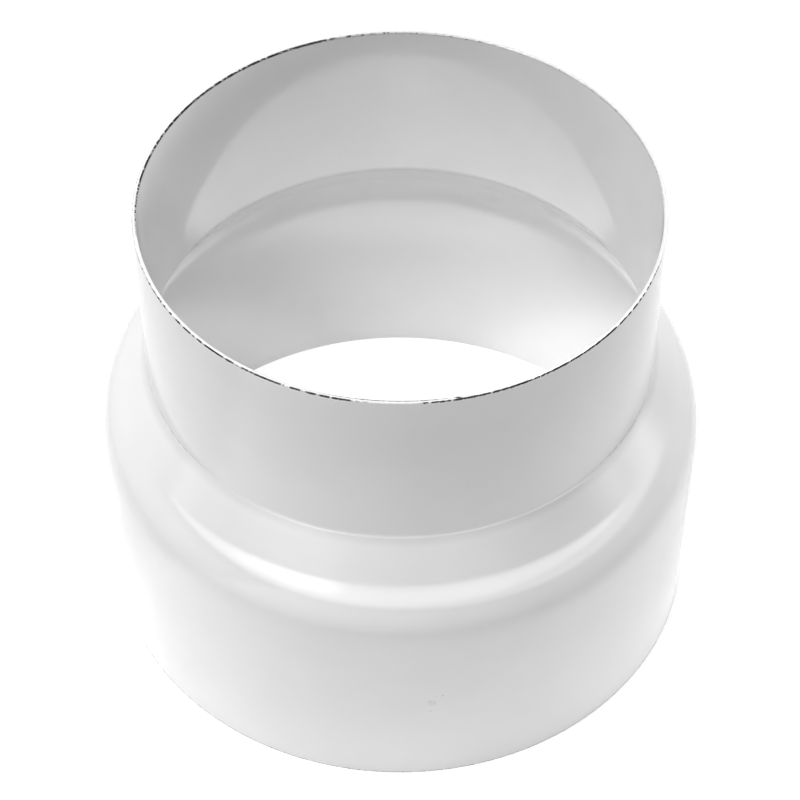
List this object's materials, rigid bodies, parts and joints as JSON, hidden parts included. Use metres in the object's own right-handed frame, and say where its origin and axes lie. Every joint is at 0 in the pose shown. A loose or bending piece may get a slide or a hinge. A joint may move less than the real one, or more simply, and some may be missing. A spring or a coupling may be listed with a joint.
{
  "type": "duct reducer",
  "caption": "Round duct reducer of white enamelled sheet steel: a large spigot narrowing over a rounded shoulder to a small spigot, open right through.",
  "frame": {"origin": "centre of the large spigot's rim, on the plane it stands on", "axes": "+Z along the duct, from the large spigot up to the small one; the part is round, so +X and +Y are alike"},
  "size_m": [0.1488, 0.1488, 0.123],
  "materials": {
    "white_coat": "gloss"
  },
  "bodies": {
    "root": {"reducer_body": "white_coat"}
  },
  "joints": []
}
